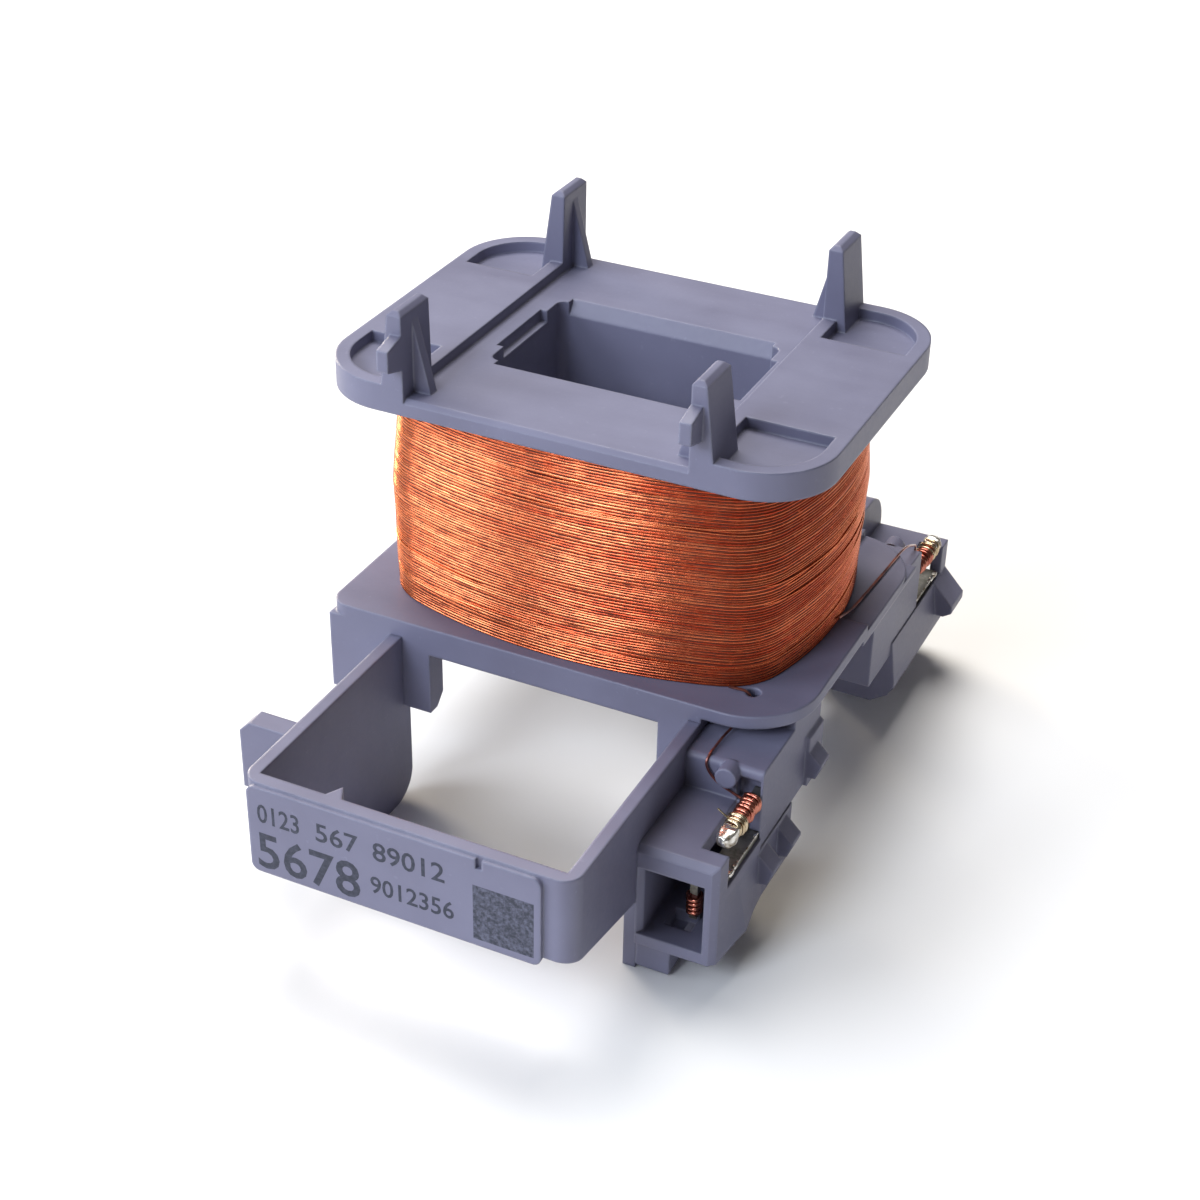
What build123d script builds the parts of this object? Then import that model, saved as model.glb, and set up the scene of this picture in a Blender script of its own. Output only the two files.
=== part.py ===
from build123d import *
import os
from math import radians, tan

# Contactor coil. Millimetres, +Z up. The core window's axis is the Z axis and the feet stand on z = 0.
# The front terminal and the label frame are on the -Y side, both terminal housings on the +X side.

# Core window and tube
window_length = 19.6
window_depth = 12.4
window_corner = 0.8
window_flare = 0.7
flare_height = 1.2
end_notch_depth = 0.6
end_notch_width = 7.6
end_notch_height = 1.0
tube_wall = 1.2
tube_corner = 1.6

# Flanges
flange_length = 41.2
flange_depth = 31.1
flange_corner = 5.8
sharp_corner = 1.6
lower_setback = 0.8
upper_plate = 1.4
lower_plate = 1.1
pad_rise = 0.9
band_width = 23.4
band_edge = 0.35
recess_rim = 1.15
recess_start = 7.7

# Heights over the feet
lower_flange_top = 17.4
winding_height = 18.6

# Guide posts and label frame are centred a little left of the window
guide_shift = -0.4

# Guide posts
post_height = 7.05
post_width_foot = 4.4
post_width_top = 4.15
post_foot = 2.0
post_top = 1.15
post_edge = 0.35
web_thickness = 0.9
web_foot = 1.5
web_height = 5.9
nub_reach = 2.0
nub_thickness = 0.95
nub_low = 2.4
nub_high = 5.3
nub_slope = 0.6

# Lead channel in the lower flange
channel_front = 1.2
channel_inner = 15.2
channel_depth = 0.6
channel_floor = 0.5
channel_wall = 0.8
channel_corner = 1.2

# Edge beams and legs under the lower flange
beam_depth = 2.1
beam_height = 1.45
leg_opening = 20.2
leg_foot_height = 9.2
leg_chamfer = 1.0

# Label frame, measured forward from the flange's front edge
label_reach = 21.95
label_bar = 1.1
label_pad_rise = 0.35
label_pad_left = 0.7
label_pad_right = 2.4
label_pad_height = 7.8
label_pad_low = 7.9
label_pad_corner = 0.7
frame_opening = 25.2
arm_wall = 1.05
arm_top = 15.9
arm_bottom = 8.5
arm_bottom_rear = 6.6
side_wall_reach = 10.85
side_wall_overlap = 0.95
side_wall_corner = 2.6
shoulder_corner = 3.6
frame_corner = 1.5
rib_reach = 1.3
rib_width = 1.5
rib_place = 6.7
pad_slot = 0.5
pad_slot_place = 5.7
pad_slot_depth = 0.8

# Left wing
wing_length = 5.95
wing_reach = 13.15
wing_thickness = 1.85
wing_top = 13.7
wing_low = 7.4
wing_chamfer = 0.9

# Terminal housings: heights over the feet, lengths from the flange's edges and from the wall
side_setback = 0.85
shelf_setback = 0.1
wall_reach = 2.75
block_length = 8.5
block_overlap = 3.85
shelf_overlap = 9.35
saddle_length = 5.8
housing_low = 2.8
housing_top = 12.0
shelf_low = 8.0
shelf_top = 15.1
front_wall = 2.0
inner_wall = 0.55
outer_wall = 1.0
floor_wall = 1.0
roof_wall = 1.4
cavity_overlap = 2.25
pocket_height = 6.3
mouth_chamfer = 0.45
slot_width = 2.2
recess_depth = 0.9
recess_height = 2.3
lip_radius = 0.5
block_chamfer = 0.5
foot_width = 2.8
foot_length = 8.4
foot_setback = 0.4
foot_round = 0.6
floor_hole = 2.1
floor_hole_side = 0.75
floor_hole_front = 0.3
peg_radius = 0.85
peg_length = 1.0
peg_inset = 2.8
peg_drop = 0.7

# Catches on the housings' outer side: front face ahead of the wall, height of the tip
catch_places = {
    "shelf": (-9.1, 10.1),
    "middle": (-3.7, 6.15),
    "front": (0.4, 6.35),
}
catch_length = 1.8
catch_reach = 1.3
catch_rise = 1.45
catch_tip = 0.3
catch_heel = 0.9
catch_drop = 1.2
catch_fall = 1.4
catch_base = 0.35
catch_base_top = 12.5

# Flare at the foot of the front housing's outer side; bulge, bevel and wedge on the rear one
flare_reach = 0.85
flare_front = 4.2
flare_rear = 0.8
flare_top = 8.0
flare_low = 3.5
bulge_reach = 0.5
bulge_top = 9.2
bulge_edge = 5.4
bulge_low = 4.6
bevel_width = 1.5
bevel_height = 1.0
wedge_length = 3.3
wedge_reach = 1.95
wedge_tip = 7.1
wedge_edge = 0.7
wedge_heel = 1.2
wedge_fall = 1.2

# Terminals
pin_width = 0.7
pin_thickness = 0.6
pin_inset = 0.7
pin_height = 12.75
pin_reach = 6.0
socket_depth = 1.7
fit_gap = 0.05
strip_thickness = 0.6
strip_height = 9.0
strip_reach = 6.1
strip_root = 1.1
strip_setback = 0.25
strip_width = 1.65
tag_width = 0.6
tag_inset = 3.05
tag_reach = 5.2
tag_low = 4.2

# Winding, insulation and wire
insulation_thickness = 0.3
winding_end_gap = 2.1
winding_side_gap = 0.65
winding_end_bulge = 2.4
winding_side_bulge = 3.1
winding_round = 5.5
winding_insets = (0.25, 0.0, 0.6)
wire_diameter = 0.22
wire_sides = 8
wrap_thickness = 0.35
wrap_corner = 0.22
wrap_pitch = 0.46
wrap_groove = 0.12
wrap_setback = 0.7
pin_wrap_turns = 8
tag_wrap_turns = 5
tag_wrap_rise = 0.15
solder_thickness = 0.4
solder_corner = 0.22
solder_cap = 0.3
lead_hole_radius = 0.6
lead_hole_side = 4.6
lead_hole_front = 3.65

# Worked out from the sizes above
upper_plate_low = lower_flange_top + winding_height
band_top = upper_plate_low + upper_plate
pad_top = band_top + pad_rise
lower_plate_low = lower_flange_top - lower_plate
flange_front = flange_depth / 2
flange_side = flange_length / 2
lower_left = lower_setback - flange_side
tube_length = window_length + 2 * tube_wall
tube_depth = window_depth + 2 * tube_wall
frame_left = guide_shift - frame_opening / 2
frame_right = guide_shift + frame_opening / 2
arm_left = frame_left - arm_wall
arm_right = frame_right + arm_wall
label_face = flange_front + label_reach
label_bar_face = label_face - label_pad_rise
side_wall_front = flange_front + side_wall_reach
side_wall_rear = flange_front - side_wall_overlap
housing_side = flange_side - side_setback
shelf_side = housing_side - shelf_setback
wall_face = flange_front + wall_reach
housing_front = wall_face + block_length
housing_rear = flange_front - block_overlap
shelf_rear = flange_front - shelf_overlap
cavity_side = housing_side - outer_wall
cavity_inner = arm_right + inner_wall
cavity_rear = flange_front - cavity_overlap
floor_top = housing_low + floor_wall
slot_inner = housing_side - slot_width
peg_place = housing_side - peg_inset
pin_place = housing_side - pin_inset
pin_tip = wall_face + pin_reach
tag_place = housing_side - tag_inset
tag_front = wall_face + tag_reach
winding_half_length = flange_side - winding_end_gap
winding_half_depth = flange_front - winding_side_gap
winding_corner_x = winding_half_length - winding_end_bulge
winding_corner_y = winding_half_depth - winding_side_bulge
lead_hole = (flange_side - lead_hole_side, lead_hole_front - flange_front)


def side_profile(points, low_x, high_x, mode=Mode.ADD):
    # A closed outline in Y and Z, pushed along X from low_x to high_x
    with BuildSketch(Plane.YZ.offset(low_x)) as outline:
        with BuildLine():
            Polyline(*points, close=True)
        make_face()
    extrude(outline.sketch, amount=high_x - low_x, mode=mode)


def front_profile(points, low_y, high_y, mode=Mode.ADD):
    # A closed outline in X and Z, pushed along Y from high_y forward to low_y
    with BuildSketch(Plane.XZ.offset(-high_y)) as outline:
        with BuildLine():
            Polyline(*points, close=True)
        make_face()
    extrude(outline.sketch, amount=high_y - low_y, mode=mode)


def guide_wall(low_x, high_x):
    # Upright wall behind the flange, with a rounded shoulder and a rounded lower corner
    with BuildSketch(Plane.YZ.offset(low_x)) as outline:
        with BuildLine():
            Polyline(
                (flange_front, arm_top),
                (side_wall_front, arm_top),
                (side_wall_front, 0),
                (side_wall_rear, 0),
                (side_wall_rear, leg_foot_height),
                (flange_front, leg_foot_height),
                close=True,
            )
        make_face()
        fillet(vertices().group_by(Axis.X)[-1].sort_by(Axis.Y)[-1], shoulder_corner)
        fillet(vertices().group_by(Axis.X)[0].sort_by(Axis.Y)[0], side_wall_corner)
    extrude(outline.sketch, amount=high_x - low_x)


def block(low, high, mode=Mode.ADD):
    # A box between two opposite corners
    size = [b - a for a, b in zip(low, high)]
    middle = Vector(*[(a + b) / 2 for a, b in zip(low, high)])
    with Locations(middle):
        Box(*size, mode=mode)


# Bobbin: core tube, upper flange with guide posts, lower flange with beams and legs
with BuildPart() as bobbin:
    with BuildSketch(Plane.XY.offset(lower_plate_low)):
        with Locations((lower_setback / 2, 0)):
            Rectangle(flange_length - lower_setback, flange_depth)
        fillet(vertices().group_by(Axis.X)[0], sharp_corner)
        fillet(vertices().group_by(Axis.X)[-1], flange_corner)
    extrude(amount=lower_plate)
    with BuildSketch(Plane.XY.offset(lower_plate_low)):
        RectangleRounded(tube_length, tube_depth, tube_corner)
    extrude(amount=band_top - lower_plate_low)

    with BuildSketch(Plane.XY.offset(upper_plate_low)):
        RectangleRounded(flange_length, flange_depth, flange_corner)
    extrude(amount=upper_plate)
    with BuildSketch(Plane.XY.offset(band_top)):
        RectangleRounded(flange_length, flange_depth, flange_corner)
        with Locations((guide_shift, 0)):
            Rectangle(band_width, flange_depth, mode=Mode.SUBTRACT)
    extrude(amount=pad_rise)
    with BuildSketch(Plane.XY.offset(band_top)):
        RectangleRounded(
            flange_length - 2 * recess_rim,
            flange_depth - 2 * recess_rim,
            flange_corner - recess_rim,
        )
        with Locations((guide_shift, 0)):
            Rectangle(band_width + 2 * recess_rim, flange_depth, mode=Mode.SUBTRACT)
        Rectangle(flange_length, 2 * recess_start, mode=Mode.SUBTRACT)
    extrude(amount=pad_rise, mode=Mode.SUBTRACT)

    # Guide posts: drafted fins with a triangular web on the band's side
    for side in (-1, 1):
        inner = guide_shift + side * band_width / 2
        for end in (-1, 1):
            with BuildSketch(Plane.XY.offset(band_top)):
                with Locations((inner + side * post_foot / 2, end * (flange_front - post_width_foot / 2))):
                    Rectangle(post_foot, post_width_foot)
            with BuildSketch(Plane.XY.offset(band_top + post_height)):
                with Locations((inner + side * post_top / 2, end * (flange_front - post_width_top / 2))):
                    Rectangle(post_top, post_width_top)
            loft()
            web_middle = end * (flange_front - post_width_top / 2)
            front_profile(
                [
                    (inner, band_top),
                    (inner - side * web_foot, band_top),
                    (inner, band_top + web_height),
                ],
                web_middle - web_thickness / 2,
                web_middle + web_thickness / 2,
            )
        nub_face = -flange_front
        side_profile(
            [
                (nub_face, band_top + nub_low),
                (nub_face - nub_reach, band_top + nub_low + nub_slope),
                (nub_face - nub_reach, band_top + nub_high - nub_slope),
                (nub_face + post_edge, band_top + nub_high),
                (nub_face + post_edge, band_top + nub_low),
            ],
            min(inner, inner + side * nub_thickness),
            max(inner, inner + side * nub_thickness),
        )
    post_tops = edges().filter_by(GeomType.LINE).filter_by_position(
        Axis.Z, band_top + post_height - 0.01, band_top + post_height + 0.01
    )
    chamfer(post_tops, post_edge)
    # Broken edge along the front and the rear of the band
    for end in (-1, 1):
        side_profile(
            [
                (end * flange_front, band_top),
                (end * (flange_front - band_edge), band_top),
                (end * flange_front, band_top - band_edge),
            ],
            guide_shift - band_width / 2,
            guide_shift + band_width / 2,
            mode=Mode.SUBTRACT,
        )

    # Beams and legs along the front and rear edges, and the left guide wall at the rear
    left_leg = guide_shift - leg_opening / 2
    right_leg = guide_shift + leg_opening / 2
    for end in (-1, 1):
        beam_outer = end * flange_front
        beam_inner = end * (flange_front - beam_depth)
        low_y = min(beam_outer, beam_inner)
        high_y = max(beam_outer, beam_inner)
        beam_low = lower_plate_low - beam_height
        block((lower_left, low_y, beam_low), (arm_right, high_y, lower_plate_low))
        block((lower_left, low_y, leg_foot_height), (left_leg, high_y, beam_low))
        block((right_leg, low_y, leg_foot_height), (arm_right, high_y, beam_low))
    leg_backs = edges().filter_by(Axis.X).filter_by_position(Axis.Z, leg_foot_height - 0.01, leg_foot_height + 0.01)
    chamfer([e for e in leg_backs if abs(e.center().Y) < flange_front - beam_depth / 2], leg_chamfer)
    guide_wall(arm_left, frame_left)

    # Lead channel on the right: a thicker strip under the plate, recessed from above
    block(
        (channel_inner - channel_wall, channel_front - channel_wall, lower_plate_low - channel_floor),
        (flange_side, flange_front - beam_depth, lower_plate_low),
    )
    with BuildSketch(Plane.XY.offset(lower_flange_top)):
        with Locations(((channel_inner + flange_side + 2) / 2, (channel_front + flange_front + 2) / 2)):
            RectangleRounded(
                flange_side + 2 - channel_inner, flange_front + 2 - channel_front, channel_corner
            )
    extrude(amount=-channel_depth, mode=Mode.SUBTRACT)

    # Window with its flared mouth and the shallow end notches
    with BuildSketch(Plane.XY.offset(lower_plate_low - 1)):
        RectangleRounded(window_length, window_depth, window_corner)
    extrude(amount=band_top - lower_plate_low + 2, mode=Mode.SUBTRACT)
    side_profile(
        [
            (-window_depth / 2 - window_flare, band_top),
            (window_depth / 2 + window_flare, band_top),
            (window_depth / 2, band_top - flare_height),
            (-window_depth / 2, band_top - flare_height),
        ],
        -window_length / 2 + window_corner,
        window_length / 2 - window_corner,
        mode=Mode.SUBTRACT,
    )
    with BuildSketch(Plane.XY.offset(band_top)):
        Rectangle(window_length + 2 * end_notch_depth, end_notch_width)
    extrude(amount=-end_notch_height, mode=Mode.SUBTRACT)

    # Hole for the front lead
    with Locations((*lead_hole, lower_flange_top)):
        Cylinder(lead_hole_radius, 4 * lower_plate, mode=Mode.SUBTRACT)

bobbin.part.label = "bobbin"

# Label frame: arms, marking plate, side walls and the left wing
with BuildPart() as label_frame:
    bar_back = label_bar_face - label_bar
    frame_middle = (label_bar_face + side_wall_rear) / 2
    with BuildSketch():
        with Locations((guide_shift, -frame_middle)):
            Rectangle(frame_opening + 2 * arm_wall, label_bar_face - side_wall_rear)
        fillet(vertices().group_by(Axis.Y)[0], frame_corner)
        with Locations((guide_shift, -frame_middle + label_bar)):
            Rectangle(frame_opening, label_bar_face - side_wall_rear, mode=Mode.SUBTRACT)
    extrude(amount=arm_top)
    side_profile(
        [
            (-label_bar_face, arm_top),
            (-flange_front, arm_top),
            (-flange_front, leg_foot_height),
            (-side_wall_rear, leg_foot_height),
            (-side_wall_rear, 0),
            (-side_wall_front, 0),
            (-side_wall_front, arm_bottom_rear),
            (-label_bar_face, arm_bottom),
        ],
        arm_left,
        arm_right,
        mode=Mode.INTERSECT,
    )
    wall_ends = edges().filter_by(Axis.X).group_by(Axis.Z)[0].group_by(Axis.Y)[-1]
    fillet(wall_ends, side_wall_corner)
    pad_left = arm_left + label_pad_left
    pad_right = arm_right - label_pad_right
    pad_top_edge = label_pad_low + label_pad_height
    with BuildSketch(Plane.XZ.offset(label_bar_face)):
        with Locations(((pad_left + pad_right) / 2, label_pad_low + label_pad_height / 2)):
            RectangleRounded(pad_right - pad_left, label_pad_height, label_pad_corner)
    extrude(amount=label_pad_rise)
    with BuildSketch(Plane.XY.offset(arm_top)):
        with BuildLine():
            Polyline(
                (-rib_place - rib_width / 2, -bar_back - 0.1),
                (-rib_place, -bar_back + rib_reach),
                (-rib_place + rib_width / 2, -bar_back - 0.1),
                close=True,
            )
        make_face()
    extrude(amount=-4.0)
    block(
        (pad_slot_place, -label_face - 1, pad_top_edge - pad_slot_depth),
        (pad_slot_place + pad_slot, -label_bar_face, arm_top + 1),
        mode=Mode.SUBTRACT,
    )
    wing_end = arm_left - wing_length
    wing_front = flange_front + wing_reach
    front_profile(
        [
            (arm_left, wing_low),
            (arm_left, wing_top),
            (wing_end + wing_chamfer, wing_top),
            (wing_end, wing_top - wing_chamfer),
            (wing_end, wing_low),
        ],
        -wing_front,
        -wing_front + wing_thickness,
    )

label_frame.part.label = "label_frame"

# What both terminal housings share: hollow block, shelf, saddle and foot, drawn for the front end
with BuildPart() as housing_body:
    side_profile(
        [
            (-housing_front, housing_low),
            (-housing_front, housing_top),
            (-wall_face, housing_top),
            (-wall_face, shelf_low),
            (-housing_rear, shelf_low),
            (-housing_rear, housing_low),
        ],
        arm_right,
        housing_side,
    )
    front_edges = edges().filter_by_position(Axis.Y, -housing_front - 0.01, -housing_front + 0.01)
    chamfer(front_edges.filter_by(Axis.X).sort_by(Axis.Z)[-1], block_chamfer)
    front_edges = edges().filter_by_position(Axis.Y, -housing_front - 0.01, -housing_front + 0.01)
    chamfer(front_edges.filter_by(Axis.Z).sort_by(Axis.X)[-1], block_chamfer)
    side_profile(
        [
            (-wall_face, shelf_low),
            (-wall_face, shelf_top),
            (-shelf_rear, shelf_top),
            (-shelf_rear, shelf_low),
        ],
        arm_right,
        shelf_side,
    )
    lip = edges().filter_by(Axis.X).filter_by_position(Axis.Z, shelf_top - 0.01, shelf_top + 0.01)
    fillet(lip.sort_by(Axis.Y)[0], lip_radius)

    # Saddle that joins the shelf to the flange above, and the foot under the block
    block((arm_right, -shelf_rear - saddle_length, shelf_top), (shelf_side, -shelf_rear, lower_plate_low))
    foot_front = housing_front - foot_setback
    block((arm_right, -foot_front, 0), (arm_right + foot_width, foot_length - foot_front, housing_low))
    soles = edges().filter_by_position(Axis.Z, -0.01, 0.01)
    fillet(soles, foot_round)

    # Inside: cavity, pocket mouth, open slot for the strip, hole in the floor
    block(
        (cavity_inner, front_wall - housing_front, floor_top),
        (cavity_side, -cavity_rear, housing_top - roof_wall),
        mode=Mode.SUBTRACT,
    )
    block(
        (cavity_inner, -housing_front - 1, floor_top),
        (cavity_side, front_wall - housing_front, floor_top + pocket_height),
        mode=Mode.SUBTRACT,
    )
    block(
        (slot_inner, front_wall - housing_front, strip_height),
        (housing_side + 1, -wall_face, housing_top + 1),
        mode=Mode.SUBTRACT,
    )
    mouth = edges().filter_by_position(Axis.Y, -housing_front - 0.01, -housing_front + 0.01)
    mouth_side = mouth.filter_by(Axis.Z).filter_by_position(Axis.X, cavity_inner - 0.01, cavity_inner + 0.01)
    chamfer(mouth_side, mouth_chamfer)
    hole_x = tag_place - floor_hole_side
    hole_y = -tag_front - floor_hole_front
    block(
        (hole_x - floor_hole / 2, hole_y - floor_hole / 2, housing_low),
        (hole_x + floor_hole / 2, hole_y + floor_hole / 2, floor_top),
        mode=Mode.SUBTRACT,
    )
    # Recess and socket of the pin, and groove of the contact strip
    socket_side = pin_place + pin_width / 2 + fit_gap
    block(
        (slot_inner, -wall_face - 1, housing_top),
        (socket_side, recess_depth - wall_face, housing_top + recess_height),
        mode=Mode.SUBTRACT,
    )
    block(
        (pin_place - pin_width / 2 - fit_gap, -wall_face, pin_height - pin_thickness / 2 - fit_gap),
        (socket_side, socket_depth - wall_face, pin_height + pin_thickness / 2 + fit_gap),
        mode=Mode.SUBTRACT,
    )
    strip_side = housing_side - strip_setback
    block(
        (strip_side - strip_width - fit_gap, -wall_face - 0.1, strip_height),
        (strip_side + fit_gap, strip_root - wall_face + fit_gap, strip_height + strip_thickness + fit_gap),
        mode=Mode.SUBTRACT,
    )
    # Winding peg on the wall, under the lip
    with BuildSketch(Plane.XZ.offset(wall_face - 0.5)):
        with Locations((peg_place, shelf_top - peg_drop)):
            Circle(peg_radius)
    extrude(amount=peg_length + 0.5)


def catch(front, tip_height):
    # Barb on the outer side: a slope down to a blunt tip, then undercut
    front_profile(
        [
            (shelf_side, tip_height + catch_rise),
            (housing_side, tip_height + catch_rise),
            (housing_side + catch_reach, tip_height + catch_tip / 2),
            (housing_side + catch_reach, tip_height - catch_tip / 2),
            (housing_side + catch_heel, tip_height - catch_drop),
            (shelf_side, tip_height - catch_fall),
        ],
        -front,
        catch_length - front,
    )


def flare_section(place, reach):
    # Section of the flare across the side, so many millimetres in front of the wall
    with BuildSketch(Plane.XZ.offset(wall_face + place)) as section:
        with BuildLine():
            Polyline(
                (housing_side - 0.5, flare_top),
                (housing_side, flare_top),
                (housing_side + reach, flare_low),
                (housing_side + reach / 2, housing_low),
                (housing_side - 0.5, housing_low),
                close=True,
            )
        make_face()
    return section.sketch


with BuildPart() as front_terminal_housing:
    add(housing_body.part)
    for ahead, tip_height in catch_places.values():
        catch(wall_face + ahead, tip_height)
    shelf_catch_front = wall_face + catch_places["shelf"][0]
    front_profile(
        [
            (shelf_side, catch_base_top + catch_base),
            (shelf_side + catch_base, catch_base_top),
            (shelf_side + catch_base, shelf_low),
            (shelf_side, shelf_low),
        ],
        -shelf_catch_front,
        -shelf_rear,
    )
    loft(
        [
            flare_section(-flare_rear, 0.02),
            flare_section(flare_front, flare_reach),
            flare_section(block_length - block_chamfer, 0.02),
        ],
        ruled=True,
    )

front_terminal_housing.part.label = "front_terminal_housing"

# The rear housing is the mirror image, but for its outer side, and has the right guide wall
with BuildPart() as rear_terminal_housing:
    mirror(housing_body.part, about=Plane.XZ)
    bevel_top = housing_low + bevel_height
    front_profile(
        [
            (housing_side + 1, housing_low - 1),
            (housing_side + 1, bevel_top),
            (housing_side, bevel_top),
            (housing_side - bevel_width, housing_low),
            (housing_side - bevel_width, housing_low - 1),
        ],
        housing_rear - 1,
        housing_front + 1,
        mode=Mode.SUBTRACT,
    )
    front_profile(
        [
            (shelf_side, bulge_top),
            (housing_side, bulge_top),
            (housing_side + bulge_reach, bulge_edge),
            (housing_side + bulge_reach, bulge_low),
            (shelf_side, bevel_top),
        ],
        housing_rear,
        housing_front - block_chamfer,
    )
    front_profile(
        [
            (shelf_side, bulge_top),
            (housing_side, bulge_top),
            (housing_side + wedge_reach, wedge_tip),
            (housing_side + wedge_reach, wedge_tip - wedge_edge),
            (housing_side + wedge_heel, wedge_tip - wedge_fall),
            (shelf_side, wedge_tip - wedge_fall),
        ],
        housing_front - block_chamfer - wedge_length,
        housing_front - block_chamfer,
    )
    add(bobbin.part, mode=Mode.SUBTRACT)
    guide_wall(frame_right, arm_right)

rear_terminal_housing.part.label = "rear_terminal_housing"

# Insulating film round the tube, and the copper winding over it
with BuildPart() as core_insulation:
    with BuildSketch(Plane.XY.offset(lower_flange_top)):
        RectangleRounded(
            tube_length + 2 * insulation_thickness,
            tube_depth + 2 * insulation_thickness,
            tube_corner + insulation_thickness,
        )
        RectangleRounded(tube_length, tube_depth, tube_corner, mode=Mode.SUBTRACT)
    extrude(amount=winding_height)

core_insulation.part.label = "core_insulation"

with BuildPart() as copper_winding:
    for level, inset in zip((0, 0.5, 1), winding_insets):
        with BuildSketch(Plane.XY.offset(lower_flange_top + level * winding_height)):
            with BuildLine():
                for end in (-1, 1):
                    ThreePointArc(
                        (-winding_corner_x + inset, end * (winding_corner_y - inset)),
                        (0, end * (winding_half_depth - inset)),
                        (winding_corner_x - inset, end * (winding_corner_y - inset)),
                    )
                    ThreePointArc(
                        (end * (winding_corner_x - inset), inset - winding_corner_y),
                        (end * (winding_half_length - inset), 0),
                        (end * (winding_corner_x - inset), winding_corner_y - inset),
                    )
            make_face()
            fillet(vertices(), winding_round)
    loft(ruled=True)
    with BuildSketch(Plane.XY.offset(lower_flange_top)):
        RectangleRounded(
            tube_length + 2 * insulation_thickness,
            tube_depth + 2 * insulation_thickness,
            tube_corner + insulation_thickness,
        )
    extrude(amount=winding_height, mode=Mode.SUBTRACT)

copper_winding.part.label = "copper_winding"

# Terminal pins, contact strips, wire wraps and solder; the rear set mirrors the front one
with BuildPart() as front_terminal_pin:
    block(
        (pin_place - pin_width / 2, -pin_tip, pin_height - pin_thickness / 2),
        (pin_place + pin_width / 2, socket_depth - wall_face, pin_height + pin_thickness / 2),
    )

with BuildPart() as front_contact_strip:
    strip_inner = strip_side - strip_width
    block(
        (strip_inner, -wall_face - strip_reach, strip_height),
        (strip_side, strip_root - wall_face, strip_height + strip_thickness),
    )
    block(
        (tag_place - tag_width / 2, -tag_front - tag_width / 2, strip_height),
        (strip_inner, -tag_front + tag_width / 2, strip_height + strip_thickness),
    )
    block(
        (tag_place - tag_width / 2, -tag_front - tag_width / 2, tag_low),
        (tag_place + tag_width / 2, -tag_front + tag_width / 2, strip_height),
    )
    bend = edges().filter_by(Axis.Y).sort_by(Axis.Z)[-4:].sort_by(Axis.X)[0]
    fillet(bend, tag_width / 2)

with BuildPart() as front_pin_wrap:
    wrap_start = wall_face + wrap_setback
    wrap_end = wrap_start + pin_wrap_turns * wrap_pitch
    for turn in range(pin_wrap_turns):
        near = wrap_start + turn * wrap_pitch
        for start, length, thickness in (
            (near, wrap_pitch - wrap_groove, wrap_thickness),
            (near + wrap_pitch - wrap_groove, wrap_groove, wrap_thickness / 2),
        ):
            with BuildSketch(Plane.XZ.offset(start)):
                with Locations((pin_place, pin_height)):
                    Rectangle(pin_width + 2 * thickness, pin_thickness + 2 * thickness)
                chamfer(vertices(), wrap_corner * thickness / wrap_thickness)
            extrude(amount=length)
    with BuildSketch(Plane.XZ.offset(wrap_start)):
        with Locations((pin_place, pin_height)):
            Rectangle(pin_width, pin_thickness)
    extrude(amount=wrap_end - wrap_start, mode=Mode.SUBTRACT)

with BuildPart() as front_solder:
    with BuildSketch(Plane.XZ.offset(wrap_end)):
        with Locations((pin_place, pin_height)):
            Rectangle(pin_width + 2 * solder_thickness, pin_thickness + 2 * solder_thickness)
    extrude(amount=pin_tip + solder_cap - wrap_end)
    chamfer(edges(), solder_corner)
    block(
        (pin_place - pin_width / 2, -pin_tip, pin_height - pin_thickness / 2),
        (pin_place + pin_width / 2, -wrap_end, pin_height + pin_thickness / 2),
        mode=Mode.SUBTRACT,
    )

with BuildPart() as front_tag_wrap:
    tag_wrap_low = tag_low + tag_wrap_rise
    for turn in range(tag_wrap_turns):
        low = tag_wrap_low + turn * wrap_pitch
        for start, length, thickness in (
            (low, wrap_pitch - wrap_groove, wrap_thickness),
            (low + wrap_pitch - wrap_groove, wrap_groove, wrap_thickness / 2),
        ):
            with BuildSketch(Plane.XY.offset(start)):
                with Locations((tag_place, -tag_front)):
                    Rectangle(tag_width + 2 * thickness, tag_width + 2 * thickness)
                chamfer(vertices(), wrap_corner * thickness / wrap_thickness)
            extrude(amount=length)
    with BuildSketch(Plane.XY.offset(tag_wrap_low)):
        with Locations((tag_place, -tag_front)):
            Rectangle(tag_width, tag_width)
    extrude(amount=tag_wrap_turns * wrap_pitch, mode=Mode.SUBTRACT)

front_set = {
    "terminal_pin": front_terminal_pin,
    "contact_strip": front_contact_strip,
    "pin_wrap": front_pin_wrap,
    "solder": front_solder,
    "tag_wrap": front_tag_wrap,
}
pieces = [bobbin, label_frame, front_terminal_housing, rear_terminal_housing, core_insulation, copper_winding]
for name, front_piece in front_set.items():
    front_piece.part.label = "front_" + name
    with BuildPart() as rear_piece:
        mirror(front_piece.part, about=Plane.XZ)
    rear_piece.part.label = "rear_" + name
    pieces += [front_piece, rear_piece]


def corner_radii(points):
    # Arc radius at each inner point of a route: 0.45 of the shorter run over the tangent of half the turn
    radii = []
    for before, here, after in zip(points, points[1:], points[2:]):
        into = Vector(*here) - Vector(*before)
        out = Vector(*after) - Vector(*here)
        half_turn = radians(into.get_angle(out)) / 2
        radii.append(0.45 * min(into.length, out.length) / tan(half_turn))
    return radii


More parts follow.
